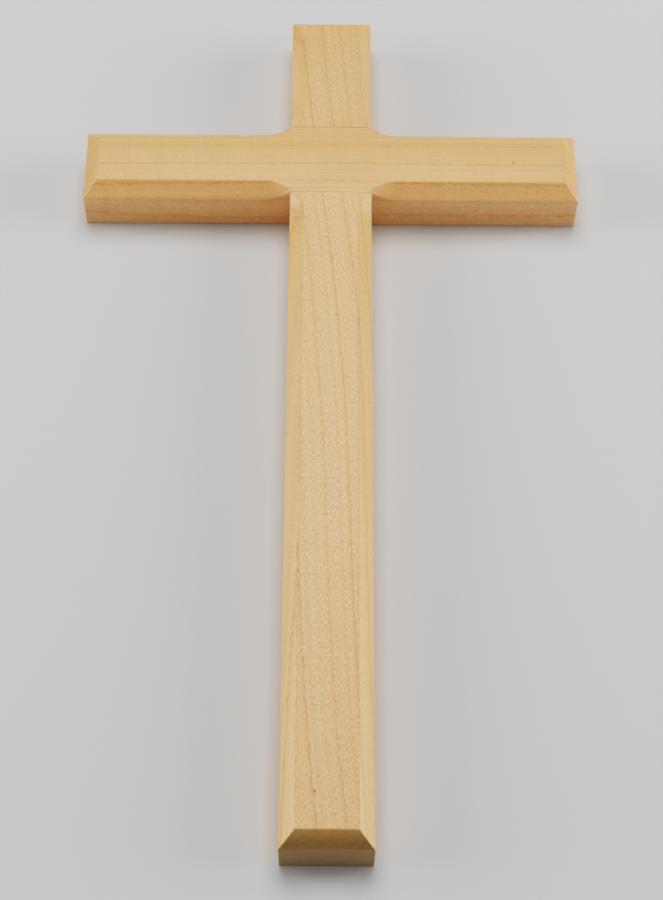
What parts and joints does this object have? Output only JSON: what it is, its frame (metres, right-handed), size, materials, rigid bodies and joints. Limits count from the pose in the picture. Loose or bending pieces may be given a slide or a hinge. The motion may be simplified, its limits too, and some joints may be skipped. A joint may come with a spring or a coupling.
{
  "type": "altar cross",
  "caption": "Plain Latin cross: two chamfered hardwood bars in a glued cross-halving joint, with a flat back and a blind hanging hole behind the upper arm.",
  "frame": {"origin": "on the back plane, under the middle of the cross's outline", "axes": "+X along the crossbar to the right as the front is seen, +Y up the post, +Z out of the front face"},
  "size_m": [0.109, 0.2, 0.012],
  "materials": {
    "maple": "pale hard maple, sanded smooth and left with a thin satin oil",
    "wood_glue": "dried wood glue, cream, inside the joint"
  },
  "bodies": {
    "root": {"post": "maple", "crossbar": "maple", "lap_glue_film": "wood_glue"}
  },
  "joints": []
}
